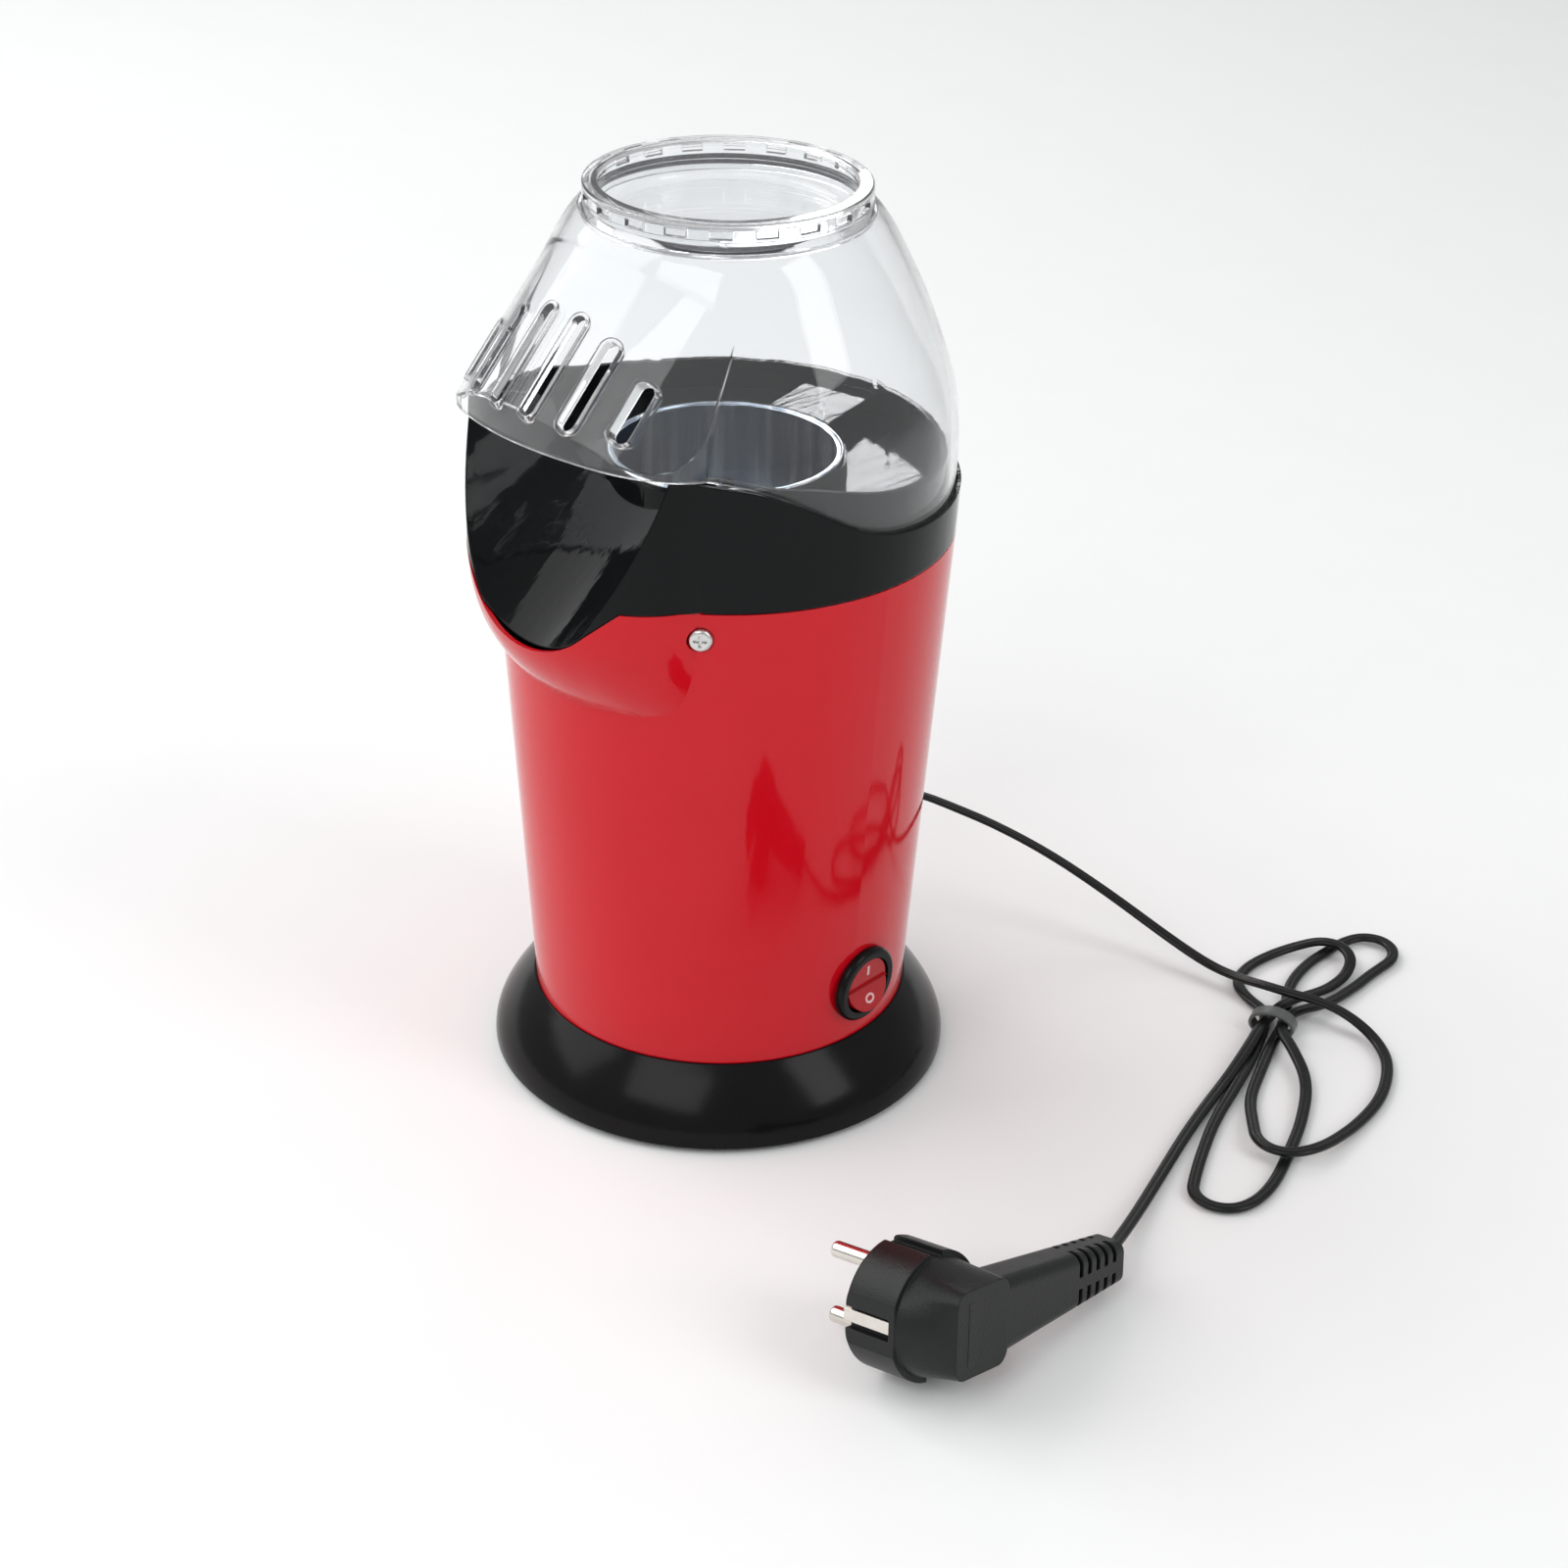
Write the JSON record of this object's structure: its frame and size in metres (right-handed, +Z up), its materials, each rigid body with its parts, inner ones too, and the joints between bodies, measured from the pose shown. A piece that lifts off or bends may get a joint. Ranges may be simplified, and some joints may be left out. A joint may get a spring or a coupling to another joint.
{
  "type": "popcorn maker",
  "caption": "Hot-air popcorn maker: tapered shell on a flared base, black spout, clear dome cover with slotted visor, lift-out cup, rocker switch, cord with angled plug.",
  "frame": {"origin": "on the table, under the middle of the appliance's bounding box without its cord, 4.25 mm in front of the round body's axis", "axes": "+Z up, -Y the way the spout faces, +X the side with the switch"},
  "size_m": [0.2571, 0.2972, 0.28],
  "materials": {
    "black_plastic": "glossy moulded",
    "black_gloss": "high gloss moulded",
    "rubber": "matt",
    "steel": "zinc plated",
    "red_shell": "gloss enamel",
    "clear_plastic": "clear polished",
    "aluminium": "polished spun",
    "zinc_steel": "galvanised",
    "mica": "pressed mica sheet",
    "heater_wire": "oxidised resistance wire",
    "white_plastic": "moulded",
    "circuit_board": "lacquered",
    "red_plastic": "glossy translucent",
    "brass_contact": "stamped",
    "wire_sheath": "extruded",
    "cord_sheath": "semi gloss extruded",
    "tie_band": "coated band",
    "plug_plastic": "satin moulded",
    "nickel": "nickel plated"
  },
  "bodies": {
    "housing": {"base_ring": "black_plastic", "bottom_plate": "black_plastic", "rubber_feet": "rubber", "base_screws": "steel", "outer_shell": "red_shell", "shell_screws": "steel", "upper_housing": "black_gloss", "popping_chamber": "aluminium", "air_duct": "zinc_steel", "heater_frame": "mica", "heater_coil": "heater_wire", "thermostat": "steel", "thermal_fuse": "steel", "fan_housing": "white_plastic", "motor_can": "zinc_steel", "motor_screws": "steel", "rectifier_board": "circuit_board", "switch_body": "black_plastic", "switch_terminals": "brass_contact", "cord_bush": "cord_sheath", "inner_wires": "wire_sheath", "power_cord": "cord_sheath", "cord_tail": "cord_sheath", "cord_hank": "cord_sheath", "hank_tie": "tie_band", "plug_body": "plug_plastic", "plug_pins": "nickel", "plug_earth_clips": "nickel"},
    "cover": {"dome_cover": "clear_plastic"},
    "cup": {"measuring_cup": "clear_plastic"},
    "rocker": {"switch_rocker": "red_plastic"},
    "fan": {"motor_shaft": "steel", "fan_impeller": "white_plastic"}
  },
  "joints": [
    {"name": "cover_lift", "type": "slide", "parent": "housing", "child": "cover", "axis": [0, 0, 1], "range_m": [0, 0.1]},
    {"name": "cup_lift", "type": "slide", "parent": "cover", "child": "cup", "axis": [0, 0, 1], "range_m": [0, 0.05]},
    {"name": "rocker_tilt", "type": "hinge", "parent": "housing", "child": "rocker", "pos_m": [0.05884, 0.00888, 0.0425], "axis": [-0.0785, 0.9969, 0], "range_deg": [0, 20]},
    {"name": "fan_spin", "type": "hinge", "parent": "housing", "child": "fan", "pos_m": [0, 0.00425, 0.06], "axis": [0, 0, 1], "continuous": true}
  ]
}
